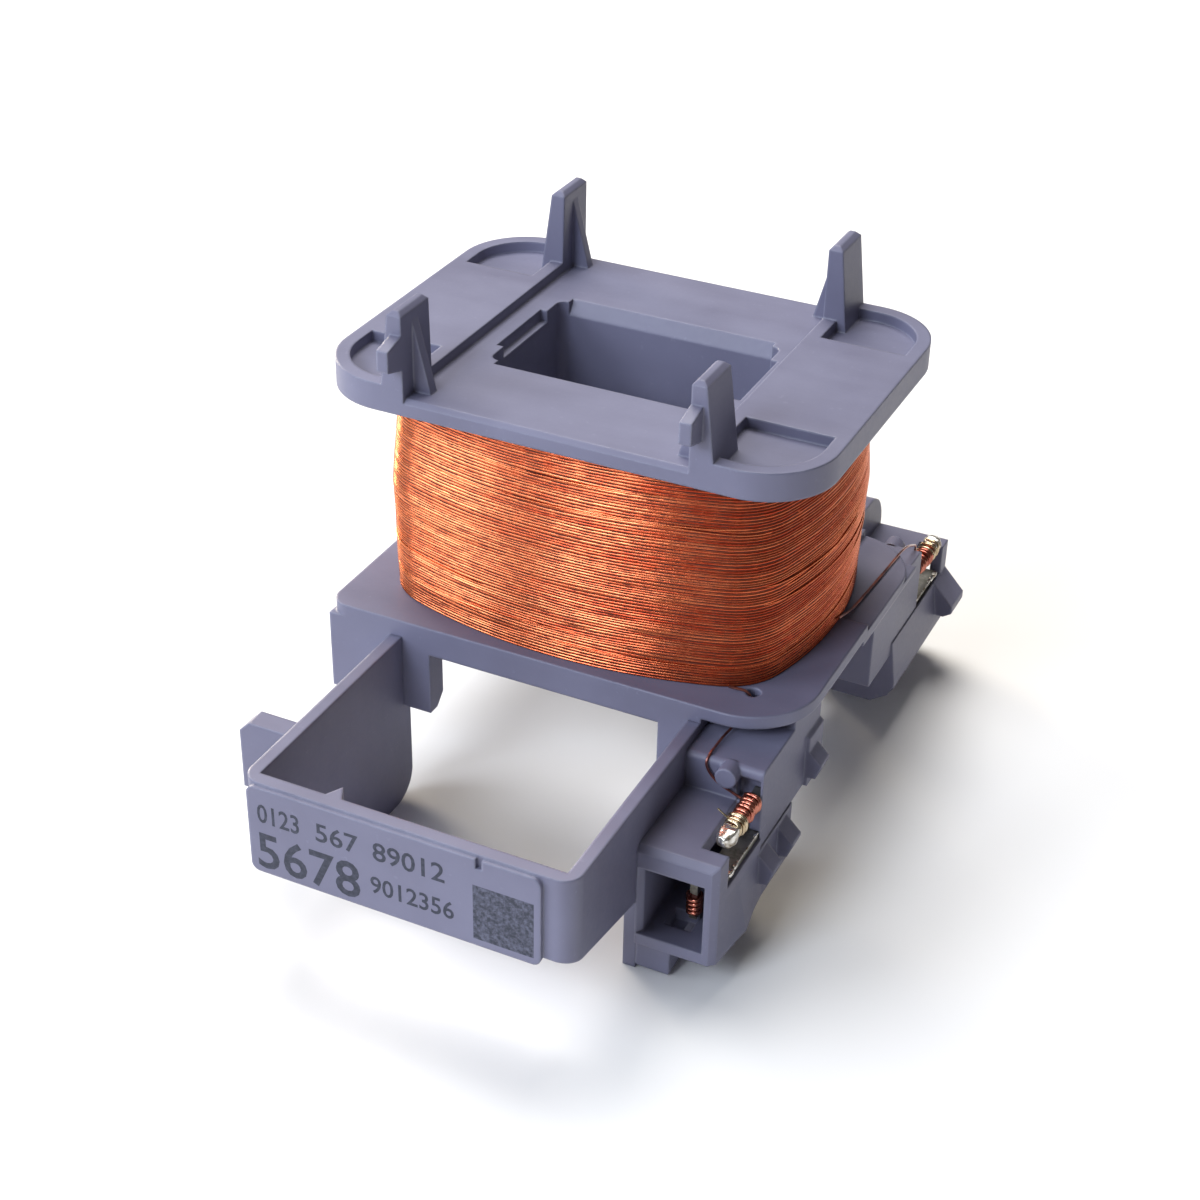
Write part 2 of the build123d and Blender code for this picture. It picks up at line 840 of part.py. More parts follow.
def wire(points):
    # The wire along its route, with an arc at each inner point; eight sides keep the thin wire light
    radii = corner_radii(points)
    with BuildLine() as route:
        FilletPolyline(*points, radius=radii)
    start = route.wire().location_at(0)
    with BuildSketch(Plane(origin=start.position, z_dir=route.wire().tangent_at(0))) as section:
        RegularPolygon(wire_diameter / 2, wire_sides)
    sweep(section.sketch, path=route.wire())
    print("wire length", round(route.wire().length, 2), "radii", [round(r, 2) for r in radii])
    return route.wire().length


# Leads: out of the winding, over the housing's lip, round the peg and onto the pin
wrap_left = pin_place - pin_width / 2 - wrap_thickness
front_route = [
    (lead_hole[0] - 1.8, lead_hole[1] - 0.6, lower_flange_top + 0.35),
    (lead_hole[0] - 0.1, lead_hole[1] - 0.2, lower_flange_top + 0.15),
    (lead_hole[0], lead_hole[1] - 0.35, shelf_top + 0.9),
    (arm_right + 1.95, 3.1 - wall_face, shelf_top + 0.3),
    (arm_right + 1.85, 0.4 - wall_face, shelf_top + 0.2),
    (arm_right + 1.75, -wall_face - 0.25, shelf_top - 0.4),
    (peg_place - 1.5, -wall_face - 0.3, shelf_top - 1.2),
    (peg_place - 0.75, -wall_face - 0.35, shelf_top - 1.8),
    (peg_place + 0.45, -wall_face - 0.55, pin_height + 0.25),
    (wrap_left - wire_diameter / 2, -wrap_start - 0.15, pin_height + 0.2),
]
with BuildPart() as front_lead:
    wire(front_route)
front_lead.part.label = "front_lead"

rear_route = [
    (winding_half_length - 0.08, 0.2, lower_flange_top + 0.6),
    (winding_half_length, 3.0, lower_flange_top - 0.2),
    (winding_half_length + 0.25, 9.0, lower_flange_top - 0.4),
    (winding_half_length + 0.55, flange_front - 0.35, lower_flange_top - 0.4),
    (pin_place - 0.05, wall_face + 0.15, shelf_top + 0.25),
    (pin_place - 0.2, wall_face + 0.5, shelf_top - 0.8),
    (pin_place - 0.3, wrap_start + 0.2, pin_height + pin_thickness / 2 + wrap_thickness + wire_diameter / 2),
]
with BuildPart() as rear_lead:
    wire(rear_route)
rear_lead.part.label = "rear_lead"
pieces += [front_lead, rear_lead]

os.makedirs("parts", exist_ok=True)
for piece in pieces:
    export_step(piece.part, f"parts/{piece.part.label}.step")
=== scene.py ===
import bpy
import math
import random
from mathutils import Matrix, Vector, noise


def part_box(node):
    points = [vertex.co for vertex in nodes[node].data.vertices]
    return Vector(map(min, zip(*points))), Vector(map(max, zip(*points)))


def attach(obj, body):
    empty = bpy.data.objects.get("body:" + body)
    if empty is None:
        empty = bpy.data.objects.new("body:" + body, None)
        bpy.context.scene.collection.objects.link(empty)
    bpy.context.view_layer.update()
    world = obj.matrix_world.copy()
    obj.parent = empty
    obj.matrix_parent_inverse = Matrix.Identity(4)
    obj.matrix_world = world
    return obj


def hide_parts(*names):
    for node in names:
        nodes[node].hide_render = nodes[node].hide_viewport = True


# Contactor coil. The moulded bobbin, label frame, terminal housings, pins, strips and leads are CAD nodes
# that get their finish here. The winding, the wire wraps, the solder and the print are modelled here.
# Metres, +Z up, the front terminal and the label frame towards -Y.

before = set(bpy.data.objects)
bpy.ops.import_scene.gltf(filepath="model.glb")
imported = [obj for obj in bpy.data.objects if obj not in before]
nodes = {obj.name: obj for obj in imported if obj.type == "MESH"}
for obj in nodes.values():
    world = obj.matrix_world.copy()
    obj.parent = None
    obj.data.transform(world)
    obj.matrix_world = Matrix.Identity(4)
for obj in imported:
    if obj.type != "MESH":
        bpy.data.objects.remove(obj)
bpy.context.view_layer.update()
mm = 0.001


# Camera
view = {
    "place": (0.06298, -0.13964, 0.11068),
    "right": (0.90001787, 0.4355153, 0.01715388),  # where the picture's right side points
    "down": (0.24487225, -0.4727006, -0.84651741),  # and its lower side
    "lens": 64.39,
    "sensor": 36.0,
    "nearest": 0.005,
}


def addCamera():
    bpy.ops.object.camera_add()
    eye = bpy.context.object
    eye.name = "viewCamera"
    right = Vector(view["right"]).normalized()
    up = -Vector(view["down"])
    up = (up - right * up.dot(right)).normalized()
    turn = Matrix((right, up, right.cross(up))).transposed().to_4x4()
    eye.matrix_world = Matrix.Translation(Vector(view["place"])) @ turn
    eye.data.lens = view["lens"]
    eye.data.sensor_width = view["sensor"]
    eye.data.clip_start = view["nearest"]
    bpy.context.scene.camera = eye


addCamera()
print("camera placed")


# Shader sums: a socket that adds its own Math nodes
class Signal:
    def __init__(self, tree, socket):
        self.tree = tree
        self.socket = socket

    def math(self, operation, first, second):
        node = self.tree.nodes.new("ShaderNodeMath")
        node.operation = operation
        for slot, value in zip(node.inputs, (first, second)):
            if isinstance(value, Signal):
                self.tree.links.new(value.socket, slot)
            else:
                slot.default_value = value
        return Signal(self.tree, node.outputs[0])

    def __add__(self, other):
        return self.math("ADD", self, other)

    def __radd__(self, other):
        return self.math("ADD", other, self)

    def __sub__(self, other):
        return self.math("SUBTRACT", self, other)

    def __rsub__(self, other):
        return self.math("SUBTRACT", other, self)

    def __mul__(self, other):
        return self.math("MULTIPLY", self, other)

    def __rmul__(self, other):
        return self.math("MULTIPLY", other, self)


def addNode(tree, kind, settings, inputs, output=0):
    # Any node other than Math: its settings first, then the values or links of its sockets
    made = tree.nodes.new("ShaderNode" + kind)
    for key, value in settings.items():
        setattr(made, key, value)
    for key, value in inputs.items():
        if isinstance(value, Signal):
            tree.links.new(value.socket, made.inputs[key])
        else:
            made.inputs[key].default_value = value
    return Signal(tree, made.outputs[output])


# Light and floor
studio = {
    "floorSize": 1.3,
    "floorColor": (0.84, 0.84, 0.84, 1),
    "floorRoughness": 0.95,
    "floorGloss": 0.1,
    "lamps": {  # place, size, power, colour
        "keyLight": ((-0.46, -0.34, 0.3), 0.34, 2.3, (0.84, 0.9, 1.0)),
        "frontLight": ((-0.135, -0.48, 0.36), 0.24, 2.1, (0.8, 0.88, 1.0)),
        "topLight": ((-0.14, 0.2, 0.6), 0.45, 4.2, (1.0, 0.98, 0.95)),
        "leftLight": ((-0.46, 0.2, 0.13), 0.22, 2.5, (1.0, 0.88, 0.68)),
    },
    "lampAim": (0, -0.005, 0.02),
    "worldColor": (1.0, 0.96, 0.93, 1),
    "worldStrength": 0.13,
    "backdropStrength": 0.86,  # how pale the empty room looks behind the floor
}


def deselectAll():
    if bpy.context.object and bpy.context.object.mode != "OBJECT":
        bpy.ops.object.mode_set(mode="OBJECT")
    bpy.ops.object.select_all(action="DESELECT")


def addLamp(name, place, size, power, color):
    bpy.ops.object.light_add(type="AREA", location=place)
    lamp = bpy.context.object
    lamp.name = name
    lamp.data.shape = "DISK"
    lamp.data.size = size
    lamp.data.energy = power
    lamp.data.color = color
    aim = Vector(studio["lampAim"]) - Vector(place)
    lamp.rotation_euler = aim.to_track_quat("-Z", "Y").to_euler()


def addWorld():
    world = bpy.data.worlds.new("studioWorld")
    bpy.context.scene.world = world
    world.use_nodes = True
    tree = world.node_tree
    seen = addNode(tree, "LightPath", {}, {}, "Is Camera Ray")
    strength = studio["worldStrength"] + seen * (studio["backdropStrength"] - studio["worldStrength"])
    sky = tree.nodes["Background"]
    sky.inputs["Color"].default_value = studio["worldColor"]
    tree.links.new(strength.socket, sky.inputs["Strength"])


def addFloor():
    deselectAll()
    bpy.ops.mesh.primitive_plane_add(size=studio["floorSize"])
    floor = bpy.context.object
    floor.name = "floor"
    paper = bpy.data.materials.new("floorPaper")
    paper.use_nodes = True
    shader = paper.node_tree.nodes["Principled BSDF"]
    shader.inputs["Base Color"].default_value = studio["floorColor"]
    shader.inputs["Roughness"].default_value = studio["floorRoughness"]
    shader.inputs["Specular IOR Level"].default_value = studio["floorGloss"]
    floor.data.materials.append(paper)


for name, lamp in studio["lamps"].items():
    addLamp(name, *lamp)
addWorld()
addFloor()
bpy.context.scene.view_settings.view_transform = "Standard"
print("studio lit")


class Finish:
    # A material with its shader, its object coordinates and the nodes that the finishes share
    def __init__(self, name, **fixed):
        self.material = bpy.data.materials.new(name)
        self.material.use_nodes = True
        self.tree = self.material.node_tree
        self.shader = self.tree.nodes["Principled BSDF"]
        self.place = self.node("TexCoord", {}, {}, "Object")
        for socket, value in fixed.items():
            self.shader.inputs[socket.replace("_", " ")].default_value = value

    def node(self, kind, settings, inputs, output=0):
        return addNode(self.tree, kind, settings, inputs, output)

    def noise(self, scale, detail=3.0, roughness=0.55, place=None):
        sockets = {"Vector": place or self.place, "Scale": scale, "Detail": detail, "Roughness": roughness}
        return self.node("TexNoise", {}, sockets)

    def stretched(self, factors):
        return self.node("Mapping", {}, {"Vector": self.place, "Scale": factors})

    def band(self, signal, low, high):
        return self.node("MapRange", {}, {"Value": signal, "From Min": low, "From Max": high})

    def mix(self, factor, first, second):
        pair = [value if isinstance(value, Signal) else (*value, 1) for value in (first, second)]
        return self.node("Mix", {"data_type": "RGBA"}, {0: factor, 6: pair[0], 7: pair[1]}, 2)

    def edges(self, radius):
        # Rounded normal, and how far it turns from the flat face's own
        rounded = self.node("Bevel", {"samples": 6}, {"Radius": radius})
        flat = self.node("NewGeometry", {}, {}, "Normal")
        along = self.node("VectorMath", {"operation": "DOT_PRODUCT"}, {0: rounded, 1: flat}, "Value")
        return rounded, self.band(1 - along, 0.01, 0.22)

    def bump(self, height, strength, distance, normal=None):
        inputs = {"Height": height, "Strength": strength, "Distance": distance}
        if normal:
            inputs["Normal"] = normal
        return self.node("Bump", {}, inputs)

    def feed(self, **links):
        for socket, signal in links.items():
            self.tree.links.new(signal.socket, self.shader.inputs[socket.replace("_", " ")])
        return self.material


# Moulded plastic
plastic = {
    "color": (0.178, 0.178, 0.262),
    "dark": (0.14, 0.138, 0.208),
    "light": (0.31, 0.315, 0.42),
    "edgeRadius": 0.3 * mm,
    "cloudScale": 95,
    "flowScale": 60,
    "flowStretch": (1.0, 4.5, 0.8),
    "fibreScale": 2600,
    "speckScale": 1500,
    "wearScale": 420,  # breaks up the pale edges, which are partly wear and partly painted highlight
    "grain": 0.006 * mm,
    "roughness": 0.44,
}


def mouldedPlastic():
    made = Finish("mouldedPlastic", Specular_IOR_Level=0.42)
    rounded, edge = made.edges(plastic["edgeRadius"])
    cloud = made.noise(plastic["cloudScale"], 4.0)
    flow = made.noise(plastic["flowScale"], 3.0, 0.5, made.stretched(plastic["flowStretch"]))
    fibre = made.noise(plastic["fibreScale"], 2.0, 0.6)
    speck = made.band(made.noise(plastic["speckScale"], 2.0, 0.7), 0.66, 0.74)
    wearAndHighlight = made.band(made.noise(plastic["wearScale"]), 0.35, 0.7)
    tone = made.band(cloud * 0.6 + flow * 0.4, 0.38, 0.64)
    color = made.mix(tone, plastic["dark"], plastic["color"])
    # pale edges: partly wear, partly painted highlight along the rims
    color = made.mix(edge * (0.35 + wearAndHighlight * 0.4), color, plastic["light"])
    color = made.mix(speck * 0.12, color, plastic["light"])
    rough = plastic["roughness"] + (fibre - 0.5) * 0.16 + tone * 0.07 - edge * 0.08
    skin = made.bump(fibre * 0.7 + flow * 0.3, 0.5, plastic["grain"], rounded)
    return made.feed(Base_Color=color, Roughness=rough, Normal=skin)


# Film round the core tube
film = {
    "dark": (0.45, 0.27, 0.07),
    "light": (0.72, 0.5, 0.16),
    "streakScale": 160,
    "streakStretch": (1, 1, 0.2),
    "roughness": 0.25,
}


def amberFilm():
    made = Finish("amberFilm", Coat_Weight=0.6, Coat_Roughness=0.15)
    drawn = made.noise(film["streakScale"], 3.0, 0.5, made.stretched(film["streakStretch"]))
    streak = made.band(drawn, 0.3, 0.7)
    color = made.mix(streak, film["dark"], film["light"])
    return made.feed(Base_Color=color, Roughness=film["roughness"] + streak * 0.15)


# Tinned pins and contact strips
tinned = {
    "color": (0.3, 0.29, 0.26),
    "stained": (0.13, 0.12, 0.1),
    "worn": (0.7, 0.68, 0.62),
    "edgeRadius": 0.08 * mm,
    "brushScale": 900,
    "brushStretch": (3, 0.4, 3),
    "stainScale": 700,
    "relief": 0.01 * mm,
    "roughness": 0.42,
}


def tinnedMetal():
    made = Finish("tinnedMetal", Metallic=1.0)
    rounded, edge = made.edges(tinned["edgeRadius"])
    brushed = made.noise(tinned["brushScale"], 3.0, 0.6, made.stretched(tinned["brushStretch"]))
    stain = made.band(made.noise(tinned["stainScale"], 4.0, 0.6), 0.42, 0.7)
    color = made.mix(stain, tinned["color"], tinned["stained"])
    color = made.mix(edge * 0.6, color, tinned["worn"])
    rough = tinned["roughness"] + stain * 0.25 + brushed * 0.08
    skin = made.bump(brushed, 0.4, tinned["relief"], rounded)
    return made.feed(Base_Color=color, Roughness=rough, Normal=skin)


# Enamelled wire of the two leads
lead = {
    "dark": (0.16, 0.055, 0.05),
    "light": (0.42, 0.13, 0.08),
    "shadeScale": 900,
    "roughness": 0.28,
}


def leadWire():
    made = Finish("leadWire", Metallic=0.85, Coat_Weight=0.7, Coat_Roughness=0.12)
    shade = made.band(made.noise(lead["shadeScale"], 3.0), 0.35, 0.7)
    color = made.mix(shade, lead["dark"], lead["light"])
    return made.feed(Base_Color=color, Roughness=lead["roughness"] + shade * 0.14)


# Enamelled copper of the winding and the wraps
copper = {  # the three colours are a turn's bright and deep tone, the deep one also taking the painted shade at the front right corner, and the painted shade in the gap beside it
    "winding": ((0.84, 0.25, 0.1), (0.45, 0.052, 0.016), (0.07, 0.008, 0.004)),
    "wrap": ((0.56, 0.22, 0.15), (0.28, 0.06, 0.045), (0.05, 0.005, 0.005)),
    "tinned": ((0.66, 0.58, 0.41), (0.34, 0.22, 0.11), (0.09, 0.05, 0.025)),
    "edgeTint": (1.0, 0.82, 0.7, 1),
    "streakScale": 420,
    "streakRise": 0.9,  # noise steps from one turn to the next
    "breakScale": 900,
    "breakRise": 0.45,
    "mottleScale": 1500,
    "patchScale": 90,
    "gapShadeFrom": 0.72,  # groove depth at which the painted shade of the gap begins to show
    "metallic": 0.97,
    "coat": 0.12,
    "coatRoughness": 0.18,
    "roughness": 0.22,
    "relief": 0.015 * mm,
}


def enamelledCopper(name, bright, deep, gapShade):
    # Reads the attributes that the builders of the winding and the wraps leave on their points
    made = Finish(name, Coat_Roughness=copper["coatRoughness"], Specular_Tint=copper["edgeTint"])
    groove = made.node("Attribute", {"attribute_name": "groove"}, {}, "Fac")
    tone = made.node("Attribute", {"attribute_name": "turnToneAndShade"}, {}, "Fac")
    turn = made.node("Attribute", {"attribute_name": "turnPlace"}, {}, "Fac")
    across = made.node("SeparateXYZ", {}, {0: made.place}, "X")
    along = made.node("SeparateXYZ", {}, {0: made.place}, "Y")

    def onTurns(scale, rise):
        # Coordinates that are long along the wire and about one turn high
        return made.node("CombineXYZ", {}, {"X": across * scale, "Y": along * scale, "Z": turn * rise})

    run = onTurns(copper["streakScale"], copper["streakRise"])
    streak = made.band(made.noise(1.0, 3.0, 0.6, run), 0.36, 0.66)
    crossing = onTurns(copper["breakScale"], copper["breakRise"])
    broken = made.band(made.noise(1.0, 2.0, 0.6, crossing), 0.34, 0.6)
    mottle = made.band(made.noise(copper["mottleScale"], 3.0, 0.65), 0.3, 0.7)
    patch = made.band(made.noise(copper["patchScale"], 2.0), 0.35, 0.68)
    # the turn tone carries the painted shade of the front right corner
    toneAndShade = made.band(tone * 0.5 + streak * 0.3 + mottle * 0.1 + patch * 0.1, 0.0, 0.9)
    shadow = made.band(groove + broken * 0.34, copper["gapShadeFrom"], 1.0)  # opens and closes along the gap
    return made.feed(
        Base_Color=made.mix(shadow, made.mix(toneAndShade, deep, bright), gapShade),
        Metallic=copper["metallic"] - shadow * 0.9,
        Roughness=copper["roughness"] + mottle * 0.08 + shadow * 0.4 - streak * 0.04,
        Coat_Weight=copper["coat"] - shadow * copper["coat"],
        Normal=made.bump(streak * 0.6 + mottle * 0.4, 0.4, copper["relief"]),
    )


# Solder with flux on it
tin = {
    "color": (0.72, 0.7, 0.65),
    "flux": (0.24, 0.18, 0.11),
    "fluxScale": 1300,
    "waveScale": 2200,
    "relief": 0.05 * mm,
    "roughness": 0.2,
}


def solderMetal():
    made = Finish("solderMetal", Metallic=0.95)
    flux = made.band(made.noise(tin["fluxScale"], 4.0, 0.6), 0.46, 0.66)
    wave = made.noise(tin["waveScale"], 3.0, 0.55)
    return made.feed(
        Base_Color=made.mix(flux, tin["color"], tin["flux"]),
        Roughness=tin["roughness"] + flux * 0.3 + wave * 0.1,
        Normal=made.bump(wave, 0.6, tin["relief"]),
    )


# Ink of the numbers, and the patch beside them
ink = {
    "dark": (0.024, 0.027, 0.044),
    "worn": (0.055, 0.06, 0.092),
    "wearScale": 2400,
    "patchDark": (0.03, 0.033, 0.05),
    "patchLight": (0.115, 0.12, 0.175),
    "patchScale": 2700,
    "patchRelief": 0.01 * mm,
}


def printInk():
    made = Finish("printInk", Roughness=0.7)
    worn = made.band(made.noise(ink["wearScale"], 3.0, 0.7), 0.4, 0.75)
    return made.feed(Base_Color=made.mix(worn, ink["dark"], ink["worn"]))


def markedPatch():
    made = Finish("markedPatch", Roughness=0.75)
    burn = made.band(made.noise(ink["patchScale"], 4.0, 0.8), 0.4, 0.64)
    return made.feed(
        Base_Color=made.mix(burn, ink["patchDark"], ink["patchLight"]),
        Normal=made.bump(burn, 0.4, ink["patchRelief"]),
    )


finishes = {
    "plastic": mouldedPlastic(),
    "film": amberFilm(),
    "tinned": tinnedMetal(),
    "lead": leadWire(),
    "copper": enamelledCopper("windingCopper", *copper["winding"]),
    "wrap": enamelledCopper("wrapCopper", *copper["wrap"]),
    "tinnedWrap": enamelledCopper("tinnedWrap", *copper["tinned"]),
    "solder": solderMetal(),
    "ink": printInk(),
    "patch": markedPatch(),
}

carried = {
    "plastic": ("bobbin", "label_frame", "front_terminal_housing", "rear_terminal_housing"),
    "film": ("core_insulation",),
    "tinned": ("front_terminal_pin", "rear_terminal_pin", "front_contact_strip", "rear_contact_strip"),
    "lead": ("front_lead", "rear_lead"),
}
for finish, names in carried.items():
    for name in names:
        nodes[name].data.materials.clear()
        nodes[name].data.materials.append(finishes[finish])
print("finishes made")


def keep(piece, name, finish):
    # Name, finish and body of a finished piece
    piece.name = name
    piece.data.materials.clear()
    piece.data.materials.append(finishes[finish])
    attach(piece, "root")


def addBlock(low, high):
    # A box between two corners, with its place in its mesh
    deselectAll()
    bpy.ops.mesh.primitive_cube_add(size=1, location=(low + high) / 2, scale=high - low)
    bpy.ops.object.transform_apply(location=True, rotation=True, scale=True)
    return bpy.context.object


def bevelBlock(piece, width):
    bpy.ops.object.mode_set(mode="EDIT")
    bpy.ops.mesh.select_all(action="SELECT")
    bpy.ops.mesh.bevel(offset=width, segments=2)
    bpy.ops.object.mode_set(mode="OBJECT")
    return piece


def tidyMesh(piece, distance):
    # Merges doubles and turns the faces outwards
    deselectAll()
    piece.select_set(True)
    bpy.context.view_layer.objects.active = piece
    bpy.ops.object.mode_set(mode="EDIT")
    bpy.ops.mesh.select_all(action="SELECT")
    bpy.ops.mesh.remove_doubles(threshold=distance)
    bpy.ops.mesh.normals_make_consistent(inside=False)
    bpy.ops.object.mode_set(mode="OBJECT")
    bpy.ops.object.shade_smooth()


def limited(value, low, high):
    return min(max(value, low), high)


# Winding
winding = {
    "turns": 74,
    "ringsPerTurn": 4,
    "columns": 168,
    "levels": 9,  # heights at which the node's wall is measured
    "wallMargin": 0.004,  # share of the height left out at either end
    "wireDepth": 0.11 * mm,  # from the crest of a turn to the groove beside it
    "sunkShare": 0.28,  # share of the turns that dip below their neighbours in places
    "sunkDepth": 0.03 * mm,
    "sunkScale": 2.6,  # how often they dip on their way round
    "sunkStep": 3.7,  # sets the dips of one turn apart from the next one's
    "wander": 0.15 * mm,  # how far a turn strays up or down
    "swell": 0.1 * mm,
    "waveScale": 1.6,  # waves of the wander and the swell on their way round
    "wanderRise": 26,  # and over the height
    "swellRise": 4,
    "endFade": 12,  # wander and swell fade in over one part in this many of the height
    "ownTone": 0.7,
    "commonTone": 0.35,
    "wanderTone": 0.3,
    "sunkShade": 0.12,
    "sunkGroove": 0.1,
    "paintedShadeSide": math.radians(335),  # painted shade: the wire is darker and redder towards the front right corner, where it reflects the dark room
    "paintedShadeShare": 0.75,
    "deepest": -0.8,
    "merge": 0.004 * mm,
    "seed": 11,
}


def wallRadius(node, angle, height):
    # Distance from the axis to a node's outer wall
    away = Vector((math.cos(angle), math.sin(angle), 0))
    found, hit, normal, index = node.ray_cast(away * 0.05 + Vector((0, 0, height)), -away)
    return hit.xy.length if found else 0.0


def wallTable(node, columns, levels, low, high):
    margin = (high - low) * winding["wallMargin"]
    table = []
    for level in range(levels):
        height = low + margin + (high - low - 2 * margin) * level / (levels - 1)
        table.append([wallRadius(node, math.tau * column / columns, height) for column in range(columns)])
    return table


def readTable(table, column, share):
    # Radius at one column, between two levels
    place = limited(share, 0.0, 0.9999) * (len(table) - 1)
    level = int(place)
    part = place - level
    return table[level][column] * (1 - part) + table[level + 1][column] * part


wireMarks = ("groove", "turnToneAndShade", "turnPlace")  # what the copper finish reads from the points


def turnPoint(angle, share, tones, sunk):
    # One point of the skin: its move outwards and upwards, its groove, its tone with the painted shade of
    # the front right corner in it and its place in turns
    turns = share * winding["turns"]
    turn = int(turns)
    around = Vector((math.cos(angle), math.sin(angle), 0)) * winding["waveScale"]
    wander = noise.noise(around + Vector((3, 7, 1 + share * winding["wanderRise"])))
    swell = noise.noise(around + Vector((0, 0, share * winding["swellRise"])))
    crest = 0.5 - 0.5 * math.cos(math.tau * (turns - turn))  # 0 in the groove
    lost = 0.0
    if sunk[turn]:
        spot = around * winding["sunkScale"] + Vector((0, 0, turn * winding["sunkStep"]))
        lost = limited(noise.noise(spot) * 3.0 - 0.5, 0.0, 1.0)
    fade = min(min(share, 1 - share) * winding["endFade"], 1)
    outwards = -winding["wireDepth"] * (1 - crest) - winding["sunkDepth"] * lost * crest
    outwards += winding["swell"] * (swell - 0.5) * fade
    # painted shade: where a turn dips below its neighbours it gets more of the gap's shade and a darker
    # tone
    groove = min((1 - crest) ** 1.2 + winding["sunkGroove"] * lost, 1)
    tone = winding["ownTone"] * tones[turn] + winding["commonTone"] + winding["wanderTone"] * wander
    tone -= winding["sunkShade"] * lost
    # painted shade: darker and redder towards the front right corner
    tone -= winding["paintedShadeShare"] * max(math.cos(angle - winding["paintedShadeSide"]), 0) ** 0.7
    return outwards, winding["wander"] * wander * fade, groove, limited(tone, winding["deepest"], 1), turns


def buildWinding():
    random.seed(winding["seed"])
    low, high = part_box("copper_winding")
    columns = winding["columns"]
    outer = wallTable(nodes["copper_winding"], columns, winding["levels"], low.z, high.z)
    inner = wallTable(nodes["core_insulation"], columns, 2, low.z, high.z)[0]
    rings = winding["turns"] * winding["ringsPerTurn"] + 1
    tones = [random.random() for turn in range(winding["turns"] + 1)]
    sunk = [random.random() < winding["sunkShare"] for turn in range(winding["turns"] + 1)]
    rows = rings + 4  # one ring inside below and above, and the middle of the inner wall twice
    deselectAll()
    bpy.ops.mesh.primitive_grid_add(x_subdivisions=columns, y_subdivisions=rows - 1, size=1)
    coil = bpy.context.object
    across = len({round(vertex.co.x, 5) for vertex in coil.data.vertices}) - 1
    upward = len({round(vertex.co.y, 5) for vertex in coil.data.vertices}) - 1
    marks = [coil.data.attributes.new(name, "FLOAT", "POINT") for name in wireMarks]
    innerHeights = {0: (low.z + high.z) / 2, 1: low.z, upward - 1: high.z, upward: (low.z + high.z) / 2}
    for index, vertex in enumerate(coil.data.vertices):
        column = round((vertex.co.x + 0.5) * across) % columns
        row = round((vertex.co.y + 0.5) * upward)
        angle = math.tau * column / columns
        if row in innerHeights:
            radius, height = inner[column], innerHeights[row]
        else:
            share = (row - 2) / (rings - 1)
            outwards, upwards, *values = turnPoint(angle, share, tones, sunk)
            radius = readTable(outer, column, share) + outwards
            height = low.z + (high.z - low.z) * share + upwards
            for mark, value in zip(marks, values):
                mark.data[index].value = value
        vertex.co = (radius * math.cos(angle), radius * math.sin(angle), height)
    tidyMesh(coil, winding["merge"])
    keep(coil, "copperWinding", "copper")
    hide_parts("copper_winding")
    return outer


windingWall = buildWinding()
print("winding wound")


# Wires as tubes along a smooth line
def wireTube(points, radius, sides=2, steps=3):
    deselectAll()
    bpy.ops.curve.primitive_nurbs_path_add()
    path = bpy.context.object
    spline = path.data.splines[0]
    spline.points.add(len(points) - len(spline.points))
    for point, place in zip(spline.points, points):
        point.co = (*place, 1)
    spline.order_u = 4
    spline.use_endpoint_u = True
    path.data.resolution_u = steps
    path.data.bevel_depth = radius
    path.data.bevel_resolution = sides
    path.data.use_fill_caps = True
    bpy.ops.object.convert(target="MESH")
    bpy.ops.object.shade_smooth()
    return bpy.context.object


def markWire(tube, groove=0.0, tone=0.0, place=0.0):
    # The same attributes that the winding has, so that all wire reads one kind of finish
    for name, value in zip(wireMarks, (groove, tone, place)):
        layer = tube.data.attributes.new(name, "FLOAT", "POINT")
        for item in layer.data:
            item.value = value


def joinTubes(tubes):
    deselectAll()
    for tube in tubes:
        tube.select_set(True)
    bpy.context.view_layer.objects.active = tubes[0]
    bpy.ops.object.join()
    return bpy.context.object


# Turns that cross over the others
looseTurns = {
    "count": 14,
    "wireRadius": 0.075 * mm,
    "lift": -0.03 * mm,  # how far its middle stands out of the winding's face
    "dive": 0.2 * mm,  # how far its ends go under
    "span": (0.7, 2.4),  # radians that one crossing turn stays on top
    "heights": (0.08, 0.9),
    "climb": 0.9 * mm,
    "tones": (0.4, 1.0),
    "place": 200.0,  # past the winding's own turns, so that the streaks differ
    "placeStep": 3.3,
    "points": 22,
    "seed": 5,
}


def buildLooseTurns():
    random.seed(looseTurns["seed"])
    low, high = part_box("copper_winding")
    columns = winding["columns"]
    tubes = []
    for turn in range(looseTurns["count"]):
        start = random.uniform(0, math.tau)
        span = random.uniform(*looseTurns["span"])
        share = random.uniform(*looseTurns["heights"])
        climb = random.uniform(-1, 1) * looseTurns["climb"]
        points = []
        for step in range(looseTurns["points"]):
            part = step / (looseTurns["points"] - 1)
            angle = start + span * part
            column = int(angle / math.tau * columns) % columns
            after = (column + 1) % columns
            blend = angle / math.tau * columns % 1
            radius = readTable(windingWall, column, share) * (1 - blend)
            radius += readTable(windingWall, after, share) * blend
            radius += looseTurns["lift"] - looseTurns["dive"] * abs(2 * part - 1) ** 6
            height = low.z + (high.z - low.z) * share + climb * (part - 0.5)
            points.append((radius * math.cos(angle), radius * math.sin(angle), height))
        tube = wireTube(points, looseTurns["wireRadius"], 1, 2)
        place = looseTurns["place"] + looseTurns["placeStep"] * turn
        markWire(tube, 0.0, random.uniform(*looseTurns["tones"]), place)
        tubes.append(tube)
    keep(joinTubes(tubes), "looseTurns", "copper")


buildLooseTurns()
print("loose turns laid")


